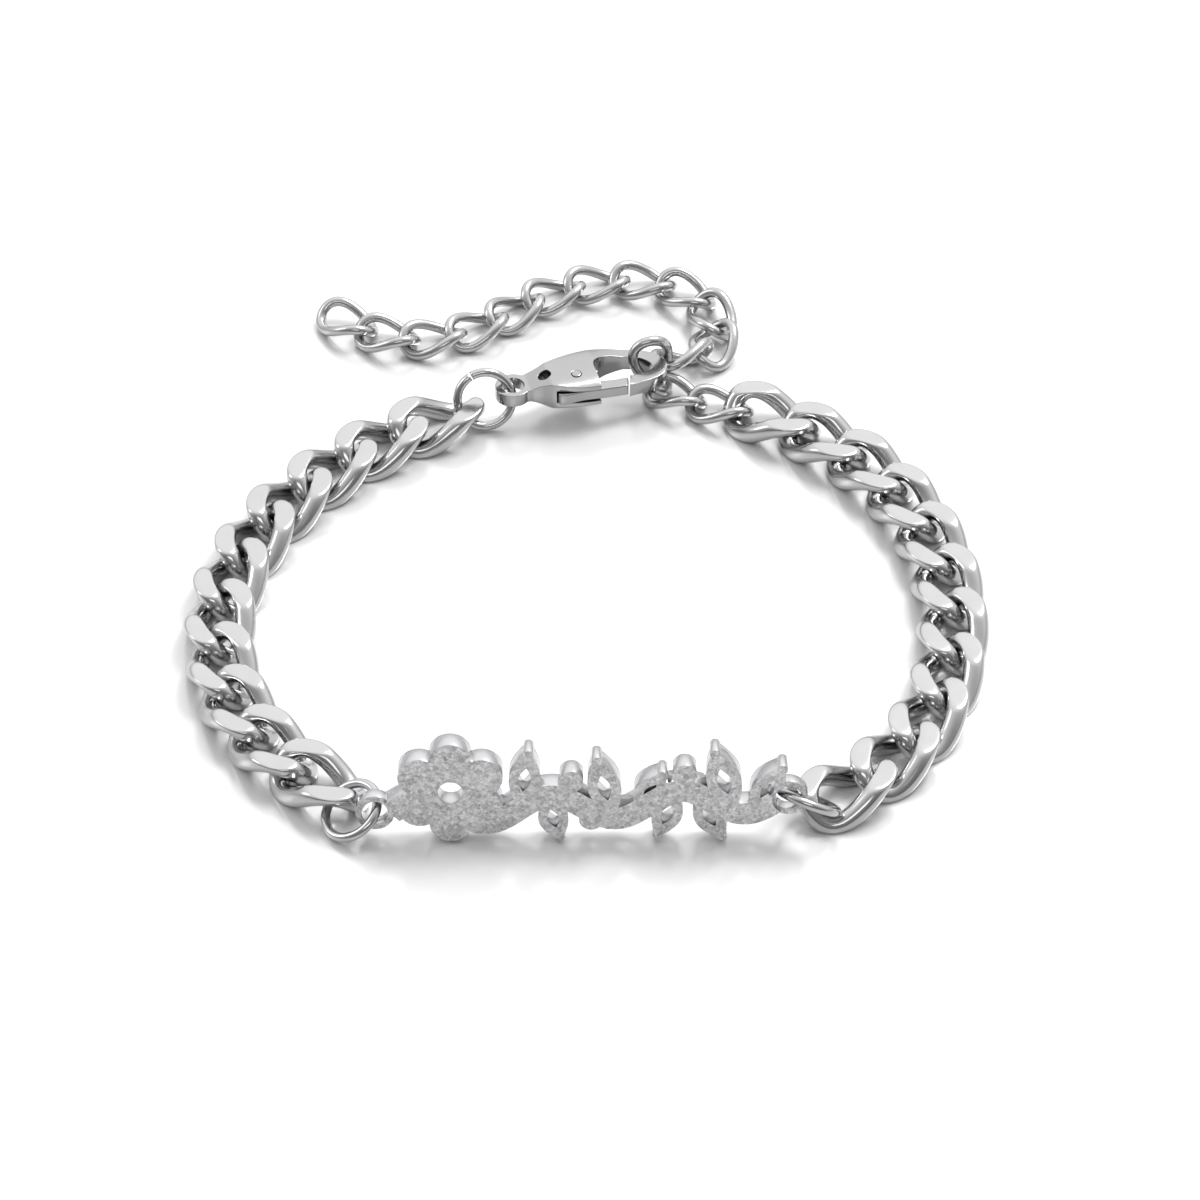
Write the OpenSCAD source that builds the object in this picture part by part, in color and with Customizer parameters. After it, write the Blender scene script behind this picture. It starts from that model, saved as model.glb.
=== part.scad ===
// Cuban link bracelet laid in a ring on a surface: two runs of heavy curb chain, a scroll plate,
// a lobster clasp and a thin extender chain, hooked by the clasp at its third link.
// Millimetres, +Z up, origin on the surface under the middle of the bracelet, plate towards -Y.

/* [Heavy chain] */
// Length of one heavy link
link_l = 7.6; // [7.5:0.05:7.7]
// Width of one heavy link
link_w = 5; // [4.9:0.05:5.1]
// Wire diameter of one heavy link
link_wire = 1.4; // [1.3:0.05:1.4]
// Rise and fall of a heavy link's two strands
link_rise = 1; // [0.95:0.05:1.05]
// Height of a heavy link between its two ground faces
link_h = 2.4; // [2.2:0.1:2.6]
// Distance from one heavy link to the next
link_pitch = 4.6; // [4.55:0.05:4.65]

/* [Extender chain] */
// Length of one extender link
ext_l = 5.24; // [5.2:0.02:5.3]
// Width of one extender link
ext_w = 3.68; // [3.6:0.04:3.76]
// Wire diameter of one extender link
ext_wire = 0.76; // [0.7:0.02:0.78]
// Rise and fall of an extender link's two strands
ext_rise = 0.55; // [0.5:0.05:0.6]
// Distance from one extender link to the next on a straight stretch
ext_pitch = 3.52; // [3.48:0.02:3.54]

/* [Jump rings] */
// Outer diameter of a jump ring
ring_d = 4.7; // [4.6:0.05:4.8]
// Wire diameter of a jump ring
ring_wire = 0.66; // [0.6:0.02:0.7]

/* [Lobster clasp] */
// Thickness of the clasp at its pin
clasp_t = 2.4; // [2.2:0.1:2.6]
// Thickness of the hook
hook_t = 1.2; // [1.1:0.1:1.3]
// Thickness of the eyelet
eyelet_t = 1; // [0.9:0.05:1.1]
// Outer diameter of the eyelet
eyelet_d = 2.6; // [2.5:0.1:2.8]
// Diameter of the eyelet's hole
eyelet_hole = 1.7; // [1.6:0.05:1.7]
// Diameter of the lever's pin
pin_d = 0.66; // [0.6:0.02:0.7]
// Thickness of the lever
lever_t = 0.9; // [0.8:0.05:0.95]

/* [Scroll plate] */
// Thickness of the plate
plate_t = 1.45; // [1.3:0.05:1.5]
// Thickness of the plate's two eyelets
plate_eyelet_t = 0.9; // [0.8:0.05:0.9]
// Outer diameter of the plate's eyelets
plate_eyelet_d = 2.6; // [2.5:0.05:2.6]
// Hole diameter of the plate's eyelets
plate_hole_d = 1.75; // [1.75:0.05:1.8]
// Width of the vine's stem
stem_w = 1.7; // [1.5:0.1:1.8]

/* [Hidden] */

// Middle of the bracelet, in the measures that the pieces are laid in
middle = [-0.98, 5.91];

// Meshed wire: stations round a link, sides round the wire
heavy_stations = 16;
ext_stations = 14;
wire_sides = 6;
// Corner radius of the six-sided wire over the round wire's own radius
corner = 1.02;

// Heavy runs: place of the back link, then every link's heading from back to front
left_start = [-11.9, 18.3];
left_headings = [-151, -143, -134, -125, -114, -103, -91, -79, -65, -51, -38];
right_start = [12.5, 18.7];
right_headings = [-29, -41, -52, -64, -75, -84, -93, -103, -115, -129, -143];
run_links = len(left_headings);
// Height of a heavy link's middle, its lower ground face on the surface
heavy_z = link_h/2;

// The first four extender links stand on one another round the clasp's hook
LINK_AT = 0; LINK_TURN = 1;
hooked = [
    [[8.73, 20.3, 0.95], [3, 1.9, 162]],
    [[5.48, 21.72, 0.95], [5.3, 4, 146]],
    [[4.06, 23.38, 2.45], [-50.7, -66, 187.9]],
    [[6.11, 25.39, 1.7], [-38.6, 8.7, 31.6]]
];
// The other links lie flat: place of the fifth, then the headings from there to the free end
ext_start = [8.4, 27.6];
ext_headings = [75, 107, 143, 172, 193, 208, 222, 212, 190, 160, 143];
ext_links = len(hooked)+len(ext_headings);

// A bend closes two flat links up by the cosine of this share of it, and lifts one end by that share
bend_close = 0.45;
bend_lift = 0.1;
// Height of a flat link's middle, and how far from the middle its wire is lowest
ext_flat_z = ext_rise+ext_wire/2;
ext_reach = 0.31*ext_l;

// Jump rings: middle and turn
left_ring_at = [-16.55, -22.8, 1.44];
left_ring_turn = [32.7, 0, -63.8];
right_ring_at = [13.86, -22.67, 2.19];
right_ring_turn = [40.9, 0, 146.7];
clasp_ring_at = [-8.38, 19.54, 2.26];
clasp_ring_turn = [65.5, 0, 9.3];

// Clasp, in its own measures: eyelet at the origin, hook towards +X, gate towards -Y
clasp_at = [-6.35, 20.17, 2.58];
clasp_heading = 15.4;
clasp_outline = [
    [0.4, 0.82], [2.2, 1.05], [3.8, 1.6], [5.5, 2.0], [7.2, 2.05], [8.7, 1.8], [10, 1.35], [10.9, 0.8],
    [11.4, -0.1], [11.4, -1.0], [10.85, -1.7], [9.9, -2.05], [8.4, -2.25], [6.4, -2.25], [4.6, -2.1],
    [3, -1.65], [1.7, -1.05], [0.4, -0.82]
];
clasp_window = [
    [6.2, -0.9], [6.15, 0.25], [6.9, 0.9], [8.2, 0.98], [9.4, 0.68], [10.1, 0.12], [10.38, -0.45],
    [10.2, -0.92], [9.55, -1.15], [8.6, -1.28], [7.2, -1.25]
];
// Half thickness along the clasp: distance from the eyelet's middle, half thickness there
clasp_halves = [
    [-2, eyelet_t/2], [1.1, eyelet_t/2], [2.6, clasp_t/2], [6.2, clasp_t/2], [8.6, hook_t/2], [13, hook_t/2]
];
// Longer than the clasp, for cuts that go right through
clasp_reach = 14;
pin_at = [4.6, -0.75];
pin_fit = 0.1;
pin_proud = 0.05;
// The two cheeks end here, and the gate closes the gap from there to the hook's tip
gate_from = 6.1;
gate_back = -0.9;
gate_r = 3.8;
gate_gap = 0.13;
// Slot between the cheeks
slot_from = 2.9;
slot_past = 0.5;
slot_back = 0.25;
slot_clear = 0.09;
// Hole behind the lever's tab
sight_hole_at = [2.35, -0.15];
sight_hole = 0.95;
lever_hub = 1.7;
lever_outline = [
    [3.15, -1.35], [3, -1.95], [3.6, -2.1], [4.9, -2.05], [6.4, -2.15], [9, -2.15], [9, -1.3], [7.3, -1.25],
    [6.2, -1.05], [5.5, -0.5], [4.6, -0.4], [3.9, -0.9]
];

// Plate, in its own measures: x along it, y up from its lower edge
plate_y = -23.8;
plate_lean = 10;
left_eyelet_at = [-14.93, 2.06];
right_eyelet_at = [12.48, 3.27];
// Stem: a wave between the eyelets that climbs to the right
vine_from = -14;
vine_to = 11.8;
vine_low = 2.1;
vine_climb = 1.15;
vine_swing = 1;
vine_wave = 8.6;
vine_step = 0.4;
// Flower: middle and radius, the petals, and the eye cut through its middle
flower_at = [-9.9, 3.8];
flower_r = 3.8;
petals = 6;
petal_r = 1.42;
flower_eye = 0.85;
// Leaves: where each leaves the stem, its turn, length and width
LEAF_X = 0; LEAF_TURN = 1; LEAF_L = 2; LEAF_W = 3;
leaves = [
    [-5.3, 82, 4.6, 2.1], [-3.6, -74, 3.65, 2], [0.9, 104, 5, 2.2], [2.3, 58, 3.8, 2],
    [5.2, -112, 4, 2], [6.3, -62, 4.15, 2.1], [8.9, 106, 5.1, 2.3], [9.9, 58, 4.4, 2]
];
leaf_steps = 12;
leaf_tip = 0.35;
// A leaf's slit over the leaf itself
leaf_slit = 0.4;
berries = [[-1.9, 4.7], [5.6, 5.2], [-0.6, 1.7]];
berry_r = 0.8;

silver = [0.82, 0.82, 0.83];
sanded = [0.7, 0.7, 0.71];

function two(i) = i < 10 ? str("0", i) : str(i);
function name(stem, i) = str(stem, two(i));
function unit(v) = v/norm(v);
function along(a) = [cos(a), sin(a)];

// Point and direction of a curb link's wire centre at angle t round the link
function curb_at(t, half_l, half_w, rise) = [half_l*cos(t), half_w*sin(t), -rise*sin(2*t)];
function curb_along(t, half_l, half_w, rise) = unit([-half_l*sin(t), half_w*cos(t), -2*rise*cos(2*t)]);

// Rings of wire corners round a curb link
function curb_skin(half_l, half_w, rise, r, stations) = [
    for (i = [0:stations-1], j = [0:wire_sides-1])
        let (t = 360*i/stations, q = 360*(j+0.5)/wire_sides, out = unit([half_w*cos(t), half_l*sin(t), 0]),
             up = cross(curb_along(t, half_l, half_w, rise), out))
        curb_at(t, half_l, half_w, rise)+r*corner*(cos(q)*out+sin(q)*up)
];
function closed_faces(stations) = [
    for (i = [0:stations-1], j = [0:wire_sides-1])
        let (here = i*wire_sides, next = ((i+1)%stations)*wire_sides, k = (j+1)%wire_sides)
        each [[here+j, next+k, here+k], [here+j, next+j, next+k]]
];

// Closed curve through hand-set corners, in n steps from one corner to the next
function smooth(p, n) = [
    for (i = [0:len(p)-1], k = [0:n-1])
        let (s = k/n, c = len(p), a = p[(i+c-1)%c], b = p[i], d = p[(i+1)%c], e = p[(i+2)%c])
        (2*b+(d-a)*s+(2*a-5*b+4*d-e)*s*s+(3*b-a-3*d+e)*s*s*s)/2
];

// Centres of a heavy run's links: each step goes along the mean of two headings
function run_at(start, headings, i) = i == 0 ? start :
    run_at(start, headings, i-1)+link_pitch*along((headings[i-1]+headings[i])/2);

// Same for the flat part of the extender, with steps that close up in a bend
function bend(i) = ext_headings[i+1]-ext_headings[i];
function ext_at(i) = i == 0 ? ext_start :
    ext_at(i-1)+ext_pitch*cos(bend_close*bend(i-1))*along((ext_headings[i-1]+ext_headings[i])/2);
function ext_lift(i) = let (last = len(ext_headings)-2)
    -bend_lift*(bend(max(0, i-1))+bend(min(last, i)))/2;

// Moves from the lay's measures to the bracelet's own origin
module laid() translate([-middle[0], -middle[1], 0]) children();
module posed(at, turn) translate(at) rotate(turn) children();

module curb_link(half_l, half_w, rise, wire, stations) {
    skin = curb_skin(half_l-wire/2, half_w-wire/2, rise, wire/2, stations);
    polyhedron(skin, closed_faces(stations), convexity=4);
}

module heavy_link(start, headings, i) {
    at = run_at(start, headings, i-1);
    color(silver) laid() posed([at[0], at[1], heavy_z], [0, 0, headings[i-1]]) intersection() {
        curb_link(link_l/2, link_w/2, link_rise, link_wire, heavy_stations);
        cube([2*link_l, 2*link_w, link_h], center=true);
    }
}
module left_link(i) heavy_link(left_start, left_headings, i);
module right_link(i) heavy_link(right_start, right_headings, i);

module extender_wire() curb_link(ext_l/2, ext_w/2, ext_rise, ext_wire, ext_stations);
module hooked_link(p)
    posed(p[LINK_AT], p[LINK_TURN]) extender_wire();
module flat_link(i) {
    at = ext_at(i);
    lift = ext_lift(i);
    posed([at[0], at[1], ext_flat_z+ext_reach*abs(sin(lift))], [0, lift, ext_headings[i]]) extender_wire();
}
module extender_link(i) color(silver) laid()
    if (i <= len(hooked)) hooked_link(hooked[i-1]); else flat_link(i-1-len(hooked));

module jump_ring(at, turn) color(silver) laid() posed(at, turn)
    rotate_extrude($fn=64) translate([(ring_d-ring_wire)/2, 0]) circle(d=ring_wire, $fn=24);
module left_jump_ring() jump_ring(left_ring_at, left_ring_turn);
module right_jump_ring() jump_ring(right_ring_at, right_ring_turn);
module clasp_jump_ring() jump_ring(clasp_ring_at, clasp_ring_turn);

// Clasp, in its own measures: eyelet at the origin, hook towards +X, gate towards -Y
module clasp_frame() laid() posed(clasp_at, [0, 0, clasp_heading]) children();
module clasp_plan() difference() {
    polygon(smooth(clasp_outline, 4));
    polygon(smooth(clasp_window, 4));
    // gap that the gate closes, from the cheeks to the hook's tip
    intersection() {
        translate([gate_from, -clasp_reach]) square([clasp_reach, clasp_reach+gate_back]);
        translate(pin_at) circle(r=gate_r+gate_gap, $fn=96);
    }
}
module clasp_side() rotate([90, 0, 0]) linear_extrude(2*clasp_reach, center=true) polygon([
    for (p = clasp_halves) p,
    for (i = [len(clasp_halves)-1:-1:0]) [clasp_halves[i][0], -clasp_halves[i][1]]
]);
module clasp_body() color(silver) clasp_frame() difference() {
    union() {
        cylinder(h=eyelet_t, d=eyelet_d, center=true, $fn=48);
        intersection() {
            linear_extrude(clasp_t, center=true) clasp_plan();
            clasp_side();
        }
    }
    cylinder(h=2*clasp_t, d=eyelet_hole, center=true, $fn=48);
    translate(pin_at) cylinder(h=2*clasp_t, d=pin_d+pin_fit, center=true, $fn=48);
    translate([slot_from, -clasp_reach, -lever_t/2-slot_clear])
        cube([gate_from+slot_past-slot_from, clasp_reach+slot_back, lever_t+2*slot_clear]);
    translate(sight_hole_at) cylinder(h=2*clasp_t, d=sight_hole, center=true, $fn=32);
}
module clasp_lever() color(silver) clasp_frame() difference() {
    linear_extrude(lever_t, center=true) intersection() {
        union() {
            translate(pin_at) circle(d=lever_hub, $fn=48);
            polygon(smooth(lever_outline, 3));
        }
        translate(pin_at) circle(r=gate_r, $fn=96);
    }
    translate(pin_at) cylinder(h=2*lever_t, d=pin_d+2*pin_fit, center=true, $fn=48);
}
module clasp_pin() color(silver) clasp_frame() translate(pin_at)
    cylinder(h=clasp_t+2*pin_proud, d=pin_d, center=true, $fn=48);

// Plate, in its own measures: x along it, y up from its lower edge
function leaf_edge(l, w, s) = [l*s, w/2*sin(180*s)];
module lens(l, w) polygon([
    for (k = [0:leaf_steps]) leaf_edge(l, w, k/leaf_steps),
    for (k = [leaf_steps-1:-1:1]) leaf_edge(l, -w, k/leaf_steps)
]);
module leaf(at, turn, l, w) translate(at) rotate(turn) difference() {
    union() {
        lens(l, w);
        translate([l-leaf_tip, 0]) circle(r=leaf_tip, $fn=24);
    }
    translate([l*(1-leaf_slit)/2, 0]) lens(leaf_slit*l, leaf_slit*w);
}
function vine(x) = let (s = (x-vine_from)/(vine_to-vine_from))
    [x, vine_low+vine_climb*s+vine_swing*sin(360*(x-vine_from)/vine_wave)];
function vine_side(x, w) = let (d = unit(vine(x+vine_step)-vine(x-vine_step))) vine(x)+w*[-d[1], d[0]];
module stem() polygon([
    for (x = [vine_from:vine_step:vine_to]) vine_side(x, stem_w/2),
    for (x = [vine_to:-vine_step:vine_from]) vine_side(x, -stem_w/2)
]);
module petal_round() for (k = [0:petals-1])
    rotate(360*(k+0.5)/petals) translate([flower_r-petal_r, 0]) circle(r=petal_r, $fn=40);
module scroll() difference() {
    union() {
        stem();
        translate(flower_at) petal_round();
        translate(flower_at) circle(r=flower_r/2, $fn=40);
        for (p = leaves) leaf([p[LEAF_X], vine(p[LEAF_X])[1]], p[LEAF_TURN], p[LEAF_L], p[LEAF_W]);
        for (p = berries) translate(p) circle(r=berry_r, $fn=32);
    }
    translate(flower_at) circle(r=flower_eye, $fn=32);
}
module plate_eyelet(at) translate(at) difference() {
    cylinder(h=plate_eyelet_t, d=plate_eyelet_d, center=true, $fn=48);
    cylinder(h=2*plate_t, d=plate_hole_d, center=true, $fn=48);
}
module plate_frame() laid() posed([0, plate_y, plate_t/2*sin(plate_lean)], [90-plate_lean, 0, 0]) children();
module scroll_plate() color(sanded) plate_frame() {
    difference() {
        linear_extrude(plate_t, center=true) scroll();
        for (p = [left_eyelet_at, right_eyelet_at]) translate(p)
            cylinder(h=2*plate_t, d=(plate_eyelet_d+plate_hole_d)/2, center=true, $fn=48);
    }
    plate_eyelet(left_eyelet_at);
    plate_eyelet(right_eyelet_at);
}

for (i = [1:run_links]) left_link(i);
for (i = [1:run_links]) right_link(i);
for (i = [1:ext_links]) extender_link(i);
scroll_plate();
left_jump_ring();
right_jump_ring();
clasp_jump_ring();
clasp_body();
clasp_lever();
clasp_pin();
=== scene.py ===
import math

import bmesh
import bpy
from mathutils import Euler, Matrix, Vector


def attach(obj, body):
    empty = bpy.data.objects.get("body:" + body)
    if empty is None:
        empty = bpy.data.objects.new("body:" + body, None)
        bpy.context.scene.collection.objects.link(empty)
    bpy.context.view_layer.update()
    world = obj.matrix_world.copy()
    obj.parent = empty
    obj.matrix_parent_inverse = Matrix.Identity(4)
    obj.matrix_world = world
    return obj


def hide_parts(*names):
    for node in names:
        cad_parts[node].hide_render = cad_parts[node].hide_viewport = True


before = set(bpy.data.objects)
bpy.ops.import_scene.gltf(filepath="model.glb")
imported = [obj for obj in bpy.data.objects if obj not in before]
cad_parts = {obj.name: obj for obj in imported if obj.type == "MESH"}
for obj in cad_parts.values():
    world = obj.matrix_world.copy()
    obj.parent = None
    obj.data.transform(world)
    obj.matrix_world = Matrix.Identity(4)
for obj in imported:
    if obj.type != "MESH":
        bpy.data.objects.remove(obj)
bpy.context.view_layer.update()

# The frame is in metres. What follows is in millimetres and degrees, unless a comment says otherwise.
MM = 0.001
# The point of the bracelet's layout that lies at the frame's origin
MIDDLE = Vector((-0.98, 5.91, 0))


class Value:
    """A number in a material. Plain arithmetic on it adds Math nodes."""

    def __init__(self, nodes, socket):
        self.nodes, self.socket = nodes, socket

    def math(self, operation, a, b):
        return self.nodes.node("ShaderNodeMath", {"operation": operation}, {0: a, 1: b})

    def __add__(self, other):
        return self.math("ADD", self, other)

    def __mul__(self, other):
        return self.math("MULTIPLY", self, other)

    def __sub__(self, other):
        return self.math("SUBTRACT", self, other)

    def __rsub__(self, other):
        return self.math("SUBTRACT", other, self)

    __radd__, __rmul__ = __add__, __mul__


class Nodes:
    """A node tree that grows one node at a time."""

    def __init__(self, tree):
        self.tree = tree

    def node(self, kind, settings, inputs, output=0):
        made = self.tree.nodes.new(kind)
        for key, value in settings.items():
            if key == "stops":
                ramp = made.color_ramp.elements
                while len(ramp) < len(value):
                    ramp.new(1.0)
                for spot, (at, grey) in zip(ramp, value):
                    spot.position, spot.color = at, (grey, grey, grey, 1)
            else:
                setattr(made, key, value)
        for key, value in inputs.items():
            if isinstance(value, Value):
                self.tree.links.new(value.socket, made.inputs[key])
            else:
                made.inputs[key].default_value = value
        return Value(self, made.outputs[output])


class Finish(Nodes):
    """A material, built node by node on its Principled shader."""

    def __init__(self, name, **fixed):
        self.material = bpy.data.materials.new(name)
        self.material.use_nodes = True
        super().__init__(self.material.node_tree)
        self.shader = self.tree.nodes["Principled BSDF"]
        for socket, value in fixed.items():
            self.shader.inputs[socket.replace("_", " ")].default_value = value
        self.place = self.node("ShaderNodeTexCoord", {}, {}, "Object")

    def feed(self, socket, value):
        self.tree.links.new(value.socket, self.shader.inputs[socket])

    def noise(self, size, detail=2.0, roughness=0.5):
        """Noise from 0 to 1 with features of that size in millimetres."""
        return self.node("ShaderNodeTexNoise", {}, {
            "Vector": self.place, "Scale": 1/(size*MM), "Detail": detail, "Roughness": roughness})

    def streaks(self, per_metre):
        """Noise drawn out into lines, with that many features in a metre along each axis."""
        place = self.node("ShaderNodeMapping", {}, {"Vector": self.place, "Scale": per_metre})
        return self.node("ShaderNodeTexNoise", {}, {"Vector": place, "Scale": 1.0, "Detail": 2.0})

    def ragged_place(self, size, reach):
        """The place on the piece, pushed about so that cells which read it get ragged edges."""
        push = self.node("ShaderNodeTexNoise", {}, {
            "Vector": self.place, "Scale": 1/(size*MM), "Detail": 3.0, "Roughness": 0.6}, "Color")
        return self.node("ShaderNodeVectorMath", {"operation": "MULTIPLY_ADD"}, {
            0: push, 1: (reach*MM, reach*MM, reach*MM), 2: self.place})

    def cells(self, place, size):
        """Cells of that size in millimetres, each with its own tone from 0 to 1."""
        colours = self.node("ShaderNodeTexVoronoi", {"feature": "F1"}, {
            "Vector": place, "Scale": 1/(size*MM), "Randomness": 1.0}, "Color")
        return self.node("ShaderNodeSeparateColor", {}, {0: colours}, 0)

    def tint(self, colour, dull, share):
        """Base colour, from a dull tone of the colour to the colour itself by that share."""
        low, high = (*(dull*c for c in colour), 1), (*colour, 1)
        mix = self.node("ShaderNodeMix", {"data_type": "RGBA"}, {0: share, 6: low, 7: high}, 2)
        self.feed("Base Color", mix)

    def bump(self, height, depth, strength):
        self.feed("Normal", self.node("ShaderNodeBump", {}, {
            "Height": height, "Distance": depth*MM, "Strength": strength}))


# Polished steel: sizes of its smears, haze and unevenness, and polishing marks in a metre along each axis
SMEAR, HAZE, UNEVEN = 1.6, 0.35, 0.9
POLISHING_MARKS = (1400, 9000, 5200)


def polished_steel(name, colour, roughness, wave):
    """Bright polished steel: faint smears in its gloss, hairline polishing marks and a soft unevenness."""
    steel = Finish(name, Metallic=1.0)
    smear = steel.noise(SMEAR, detail=3.0)
    steel.feed("Roughness", roughness+0.10*smear*steel.noise(HAZE))
    steel.tint(colour, dull=0.9, share=smear)
    uneven = steel.noise(UNEVEN, detail=1.0)
    steel.bump(wave*uneven+0.12*steel.streaks(POLISHING_MARKS), depth=0.02, strength=0.35)
    return steel.material


# Blasted steel: sizes of its pits and grit, and the size and reach of the pits' ragged edges
FINE_PIT, COARSE_PIT, GRIT = 0.13, 0.27, 0.1
RAGGED, RAGGED_REACH = 0.09, 0.16


def sandblasted_steel(name, colour):
    """Matt blasted steel: small sparkling pits between coarser ones."""
    steel = Finish(name, Metallic=1.0)
    place = steel.ragged_place(RAGGED, RAGGED_REACH)
    fine, coarse = steel.cells(place, FINE_PIT), steel.cells(place, COARSE_PIT)
    grit = steel.noise(GRIT, detail=3.0, roughness=0.6)
    steel.feed("Roughness", 0.24+0.2*grit)
    steel.tint(colour, dull=0.36, share=0.5*fine+0.5*coarse)
    steel.bump(0.6*grit+fine+1.4*coarse, depth=0.08, strength=1.0)
    return steel.material


SILVER = (0.5, 0.5, 0.505)
THIN_SILVER = (0.48, 0.48, 0.485)
CLASP_SILVER = (0.39, 0.39, 0.395)
EDGE_SILVER = (0.54, 0.54, 0.55)
BLASTED_WHITE = (0.92, 0.92, 0.93)
heavy_steel = polished_steel("polished_heavy_links", SILVER, roughness=0.15, wave=0.6)
thin_steel = polished_steel("polished_thin_links", THIN_SILVER, roughness=0.18, wave=0.7)
ring_steel = polished_steel("polished_rings", SILVER, roughness=0.10, wave=0.5)
clasp_steel = polished_steel("polished_clasp", CLASP_SILVER, roughness=0.15, wave=0.9)
plate_front = sandblasted_steel("sandblasted_plate", BLASTED_WHITE)
plate_edge = polished_steel("bright_plate_edge", EDGE_SILVER, roughness=0.2, wave=0.8)


def everything(bm):
    return bm.verts[:]+bm.edges[:]+bm.faces[:]


def move(bm, matrix):
    bmesh.ops.transform(bm, matrix=matrix, verts=bm.verts[:])


def placed(at, turn):
    return Matrix.Translation(at) @ Euler([math.radians(a) for a in turn]).to_matrix().to_4x4()


def finished(bm, node, materials, body):
    """Turns a bmesh in the layout's millimetres into the piece that stands for a CAD node."""
    move(bm, Matrix.Scale(MM, 4) @ Matrix.Translation(-MIDDLE))
    mesh = bpy.data.meshes.new(node+"_steel")
    bm.to_mesh(mesh)
    bm.free()
    for material in materials:
        mesh.materials.append(material)
    piece = bpy.data.objects.new(node+"_steel", mesh)
    bpy.context.scene.collection.objects.link(piece)
    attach(piece, body)
    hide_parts(node)


def wire_ring(radius, wire, sides, steps, angle=360.0):
    """Round wire bent into a ring, or most of one."""
    bm = bmesh.new()
    upright = Matrix.Translation((radius, 0, 0)) @ Matrix.Rotation(math.pi/2, 4, "X")
    closed = angle == 360.0
    bmesh.ops.create_circle(bm, cap_ends=not closed, segments=sides, radius=wire/2, matrix=upright)
    bmesh.ops.spin(bm, geom=everything(bm), cent=(0, 0, 0), axis=(0, 0, 1), dvec=(0, 0, 0),
                   angle=math.radians(angle), steps=steps, use_merge=closed, use_normal_flip=False,
                   use_duplicate=False)
    bmesh.ops.recalc_face_normals(bm, faces=bm.faces[:])
    for face in bm.faces:
        face.smooth = True
    return bm


def curb_link(size):
    """A curb link that lies flat along X: longer than wide, its two strands rising and falling.

    Its wire is round and as thick as wire_shown, where the CAD's has six sides and is as thick as wire.
    """
    half_l, half_w = (size["length"]-size["wire"])/2, (size["width"]-size["wire"])/2
    rise = size["rise"]
    bm = wire_ring(half_l, size["wire_shown"], size["sides"], size["steps"])
    for v in bm.verts:
        t = math.atan2(v.co.y, v.co.x)
        c, s = math.cos(t), math.sin(t)
        centre = Vector((half_l*c, half_w*s, -rise*math.sin(2*t)))
        along = Vector((-half_l*s, half_w*c, -2*rise*math.cos(2*t))).normalized()
        out = Vector((half_w*c, half_l*s, 0)).normalized()
        up = along.cross(out)
        v.co = centre+(math.hypot(v.co.x, v.co.y)-half_l)*out+v.co.z*up
    bmesh.ops.recalc_face_normals(bm, faces=bm.faces[:])
    return bm


def grind(bm, height, knee):
    """Presses both faces flat at that half height, with soft shoulders."""
    start = height-knee
    for v in bm.verts:
        over = abs(v.co.z)-start
        if over > 0:
            v.co.z = math.copysign(height-knee*math.exp(-over/knee), v.co.z)


def heading(degrees):
    return Vector((math.cos(math.radians(degrees)), math.sin(math.radians(degrees)), 0))


# Heavy chain: link sizes, the place of each run's back link, and headings from back to front
HEAVY = {
    "length": 7.6, "width": 5.0, "wire": 1.4, "rise": 1.0,
    "wire_shown": 1.46, "sides": 32, "steps": 96,
}
HEAVY_HEIGHT, HEAVY_PITCH, SHOULDER = 2.4, 4.6, 0.13
RUNS = {
    "left": ((-11.9, 18.3), (-151, -143, -134, -125, -114, -103, -91, -79, -65, -51, -38)),
    "right": ((12.5, 18.7), (-29, -41, -52, -64, -75, -84, -93, -103, -115, -129, -143)),
}


def heavy_link(node, at, turn):
    bm = curb_link(HEAVY)
    grind(bm, HEAVY_HEIGHT/2, SHOULDER)
    move(bm, placed(at, (0, 0, turn)))
    finished(bm, node, [heavy_steel], "bracelet")


for side, (start, turns) in RUNS.items():
    at = Vector((*start, HEAVY_HEIGHT/2))
    for i, turn in enumerate(turns):
        if i:
            at = at+HEAVY_PITCH*heading((turns[i-1]+turn)/2)
        heavy_link(f"{side}_link_{i+1:02d}", at, turn)

# Extender: four links that stand round the clasp's hook as place and turn, then flat ones by their headings
THIN = {
    "length": 5.24, "width": 3.68, "wire": 0.76, "rise": 0.55,
    "wire_shown": 0.76, "sides": 14, "steps": 56,
}
THIN_PITCH = 3.52
HOOKED = [
    ((8.73, 20.3, 0.95), (3, 1.9, 162)),
    ((5.48, 21.72, 0.95), (5.3, 4, 146)),
    ((4.06, 23.38, 2.45), (-50.7, -66, 187.9)),
    ((6.11, 25.39, 1.7), (-38.6, 8.7, 31.6)),
]
FLAT_START = (8.4, 27.6)
FLAT_TURNS = (75, 107, 143, 172, 193, 208, 222, 212, 190, 160, 143)
# In a bend the flat links close up and tilt, and a tilted link lies higher
BEND_CLOSE, BEND_TILT, TILT_REACH = 0.45, 0.1, 0.31


def thin_link(number, at, turn):
    bm = curb_link(THIN)
    move(bm, placed(at, turn))
    finished(bm, f"extender_link_{number:02d}", [thin_steel], "bracelet")


for i, (at, turn) in enumerate(HOOKED):
    thin_link(i+1, at, turn)
bends = [b-a for a, b in zip(FLAT_TURNS, FLAT_TURNS[1:])]
at = Vector((*FLAT_START, 0))
for i, turn in enumerate(FLAT_TURNS):
    if i:
        step = THIN_PITCH*math.cos(math.radians(BEND_CLOSE*bends[i-1]))
        at = at+step*heading((FLAT_TURNS[i-1]+turn)/2)
    tilt = -BEND_TILT*(bends[max(0, i-1)]+bends[min(len(bends)-1, i)])/2
    height = THIN["rise"]+THIN["wire"]/2+TILT_REACH*THIN["length"]*abs(math.sin(math.radians(tilt)))
    thin_link(len(HOOKED)+1+i, Vector((at.x, at.y, height)), (0, tilt, turn))

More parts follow.
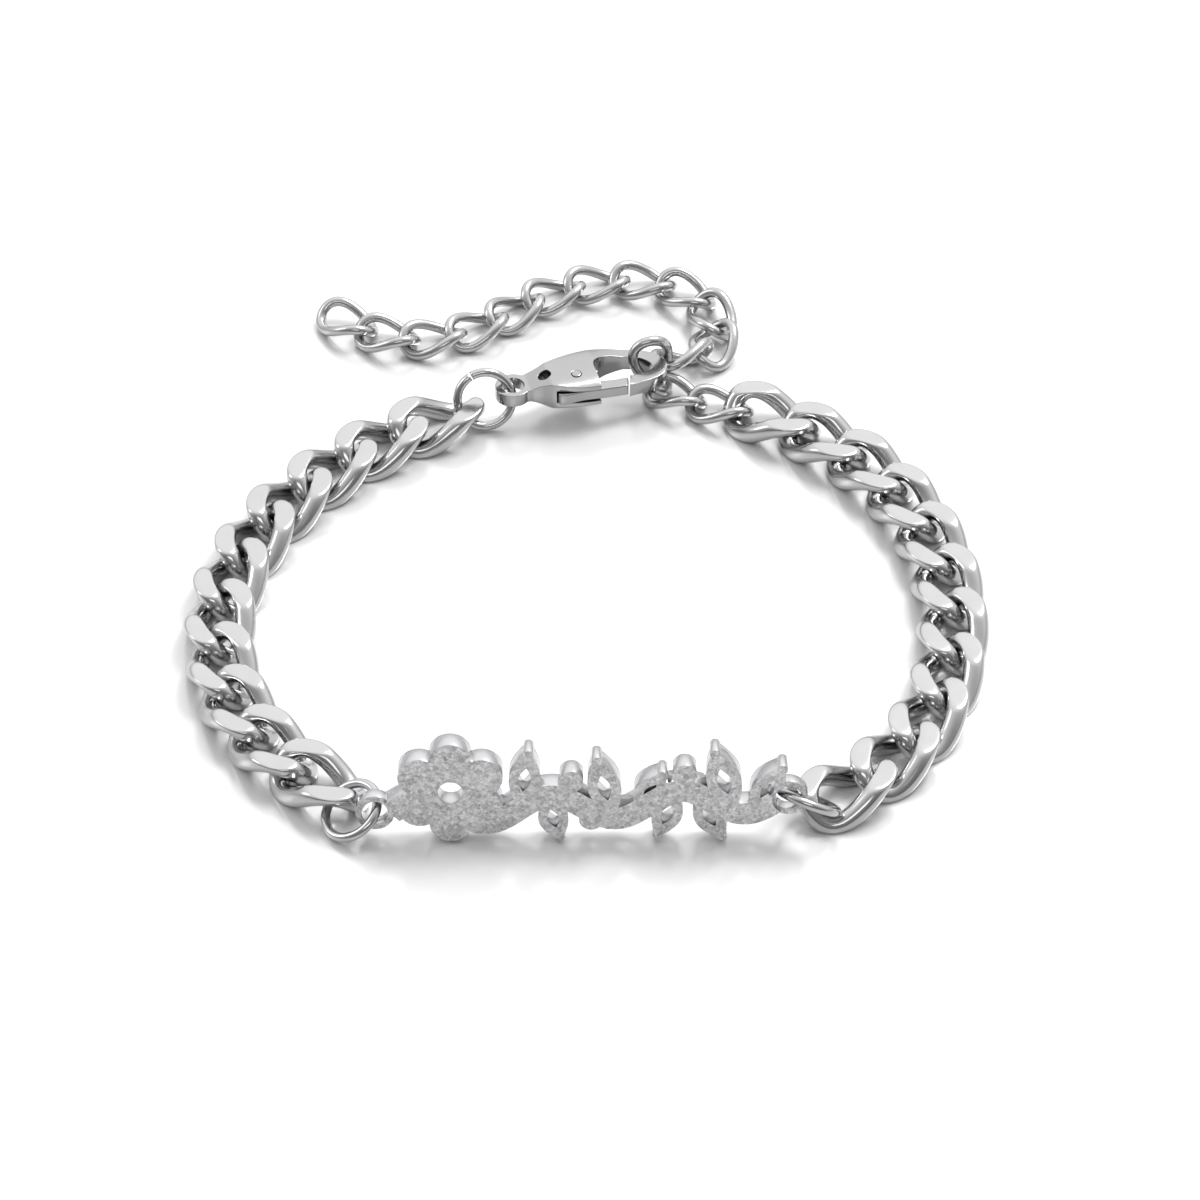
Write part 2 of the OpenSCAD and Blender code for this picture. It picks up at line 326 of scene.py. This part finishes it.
# Jump rings: place, turn, and where round the ring its seam lies
RING_OUTER, RING_WIRE, RING_SIDES, RING_STEPS, SEAM_ANGLE = 4.7, 0.66, 20, 96, 3.0
RINGS = {
    "left_jump_ring": ((-16.55, -22.8, 1.44), (32.7, 0, -63.8), 200),
    "right_jump_ring": ((13.86, -22.67, 2.19), (40.9, 0, 146.7), 20),
    "clasp_jump_ring": ((-8.38, 19.54, 2.26), (65.5, 0, 9.3), 118),
}
for node, (at, turn, seam) in RINGS.items():
    bm = wire_ring((RING_OUTER-RING_WIRE)/2, RING_WIRE, RING_SIDES, RING_STEPS, 360-SEAM_ANGLE)
    move(bm, placed(at, turn) @ Matrix.Rotation(math.radians(seam), 4, "Z"))
    finished(bm, node, [ring_steel], "bracelet")

# Copies of CAD nodes: how near points merge, and how near a cut snaps to a point
MERGE, SNAP = 1e-4, 1e-5
# Angles up to which faces count as one, and from which an edge is sharp
ONE_FACE, SHARP = 1, 35


def cad_copy(node):
    """A CAD node's mesh in the layout's millimetres, its loose triangles merged into whole flat faces."""
    bm = bmesh.new()
    bm.from_mesh(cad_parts[node].data)
    move(bm, Matrix.Translation(MIDDLE) @ Matrix.Scale(1/MM, 4))
    bmesh.ops.remove_doubles(bm, verts=bm.verts[:], dist=MERGE)
    bmesh.ops.dissolve_limit(bm, angle_limit=math.radians(ONE_FACE), verts=bm.verts[:], edges=bm.edges[:])
    return bm


def soften(bm, width, segments):
    """Rounds the sharp edges."""
    sharp = [e for e in bm.edges if len(e.link_faces) == 2 and e.calc_face_angle() > math.radians(SHARP)]
    bmesh.ops.bevel(bm, geom=sharp, offset=width, offset_type="OFFSET", segments=segments,
                    profile=0.5, affect="EDGES", material=-1, clamp_overlap=True)
    for face in bm.faces:
        face.smooth = True


# Clasp: its place, and each piece's body and the width of its rounded edges
CLASP = placed((-6.35, 20.17, 2.58), (0, 0, 15.4))
CLASP_PIECES = {
    "clasp_body": ("bracelet", 0.22),
    "clasp_lever": ("lever", 0.16),
    "clasp_pin": ("bracelet", 0.05),
}
CLASP_SEGMENTS = 4
# Its domed faces: the height they start from, half the dome's width, and the share of height kept at its rim
DOME_FROM, DOME_HALF_WIDTH, DOME_RIM = 0.5, 2.35, 0.2
# Cuts that let the faces bend: their spacing, then the axis, start and end of each set
DOME_GRID = 0.15
DOME_CUTS = ((0, 0.6, 11.4), (1, -2.1, 2.1))


def dome(bm):
    """Rounds the outer faces of a clasp piece. What lies near the middle plane stays."""
    move(bm, CLASP.inverted())
    for axis, first, last in DOME_CUTS:
        at = first
        while at < last:
            point, normal = Vector((0, 0, 0)), Vector((0, 0, 0))
            point[axis], normal[axis] = at, 1
            bmesh.ops.bisect_plane(bm, geom=everything(bm), dist=SNAP, plane_co=point, plane_no=normal)
            at += DOME_GRID
    for v in bm.verts:
        over = abs(v.co.z)-DOME_FROM
        if over > 0:
            round_off = max(0, 1-(v.co.y/DOME_HALF_WIDTH)**2)**0.5
            v.co.z = math.copysign(DOME_FROM+over*(DOME_RIM+(1-DOME_RIM)*round_off), v.co.z)
    move(bm, CLASP)


for node, (body, width) in CLASP_PIECES.items():
    bm = cad_copy(node)
    soften(bm, width, CLASP_SEGMENTS)
    dome(bm)
    finished(bm, node, [clasp_steel], body)

# Plate: leans back, blasted front and back, with bright cut edges
PLATE_LEAN = math.radians(10)
PLATE_EDGE, PLATE_SEGMENTS = 0.05, 2
# Cosine above which a face counts as front or back
FACING = 0.98
bm = cad_copy("scroll_plate")
soften(bm, PLATE_EDGE, PLATE_SEGMENTS)
front = Vector((0, -math.cos(PLATE_LEAN), math.sin(PLATE_LEAN)))
for face in bm.faces:
    blasted = abs(face.normal.dot(front)) > FACING
    face.material_index = 0 if blasted else 1
    face.smooth = not blasted
finished(bm, "scroll_plate", [plate_front, plate_edge], "bracelet")

# Floor: glossy white board, its half side in metres
FLOOR_HALF = 1.5
BOARD_WHITE = (0.66, 0.66, 0.66, 1)
floor_mesh = bpy.data.meshes.new("floor")
bm = bmesh.new()
bmesh.ops.create_grid(bm, x_segments=1, y_segments=1, size=FLOOR_HALF)
bm.to_mesh(floor_mesh)
bm.free()
floor = bpy.data.objects.new("floor", floor_mesh)
bpy.context.scene.collection.objects.link(floor)
board = Finish("white_board", Base_Color=BOARD_WHITE, Roughness=0.24, IOR=2.8)
floor_mesh.materials.append(board.material)

# Studio lamps, all turned to one point: place and size in metres, power in watts
LIT_POINT = Vector((0, 0, 0))
LAMPS = {
    "key_softbox": ((0.28, 0.3, 0.62), (0.3, 0.3), 4.5),
    "left_softbox": ((-0.75, 0.1, 0.45), (0.25, 0.5), 1.0),
    "front_fill": ((0.0, -0.7, 0.6), (0.5, 0.15), 0.62),
}
for name, (place, size, power) in LAMPS.items():
    lamp = bpy.data.lights.new(name, "AREA")
    lamp.shape, lamp.size, lamp.size_y, lamp.energy = "RECTANGLE", size[0], size[1], power
    stand = bpy.data.objects.new(name, lamp)
    stand.location = place
    stand.rotation_euler = (LIT_POINT-Vector(place)).to_track_quat("-Z", "Y").to_euler()
    bpy.context.scene.collection.objects.link(stand)

# White tent round the table: bright behind and above, a little dimmer to both sides, dark in front
TENT_STRENGTH = 1.6
# Its brightness from the table up to overhead, from left to right and from front to back
HEIGHT_STOPS = [(0.0, 0.5), (0.12, 0.6), (0.3, 0.9), (0.5, 1.0), (0.8, 1.0), (0.92, 0.95), (1.0, 0.9)]
ACROSS_STOPS = [(0.0, 0.75), (0.2, 0.85), (0.4, 1.0), (0.6, 1.0), (0.8, 0.85), (1.0, 0.75)]
DEPTH_STOPS = [(0.0, 0.2), (0.2, 0.25), (0.38, 0.62), (0.55, 0.95), (1.0, 1.0)]
world = bpy.data.worlds.new("studio")
world.use_nodes = True
tent = Nodes(world.node_tree)
direction = tent.node("ShaderNodeTexCoord", {}, {}, "Generated")
across, depth, height = (tent.node("ShaderNodeSeparateXYZ", {}, {0: direction}, axis) for axis in "XYZ")
grey = (tent.node("ShaderNodeValToRGB", {"stops": HEIGHT_STOPS}, {0: height})
        * tent.node("ShaderNodeValToRGB", {"stops": ACROSS_STOPS}, {0: 0.5*across+0.5})
        * tent.node("ShaderNodeValToRGB", {"stops": DEPTH_STOPS}, {0: 0.5*depth+0.5}))
background = world.node_tree.nodes["Background"]
world.node_tree.links.new(grey.socket, background.inputs["Color"])
background.inputs["Strength"].default_value = TENT_STRENGTH
bpy.context.scene.world = world

# Camera: looks along +Y and down, at the zero point of the layout
VIEW_DOWN = math.radians(41.4)
VIEW_DISTANCE = 351
LENS, SENSOR = 150, 36
# What it sees, from near to far, in metres
CLIP_NEAR, CLIP_FAR = 0.01, 10
lens = bpy.data.cameras.new("camera")
lens.sensor_width, lens.lens = SENSOR, LENS
lens.clip_start, lens.clip_end = CLIP_NEAR, CLIP_FAR
camera = bpy.data.objects.new("camera", lens)
stand_back = Vector((0, -math.cos(VIEW_DOWN), math.sin(VIEW_DOWN)))*VIEW_DISTANCE
camera.location = (stand_back-MIDDLE)*MM
camera.rotation_euler = (math.pi/2-VIEW_DOWN, 0, 0)
bpy.context.scene.collection.objects.link(camera)
bpy.context.scene.camera = camera
bpy.context.scene.view_settings.view_transform = "Standard"
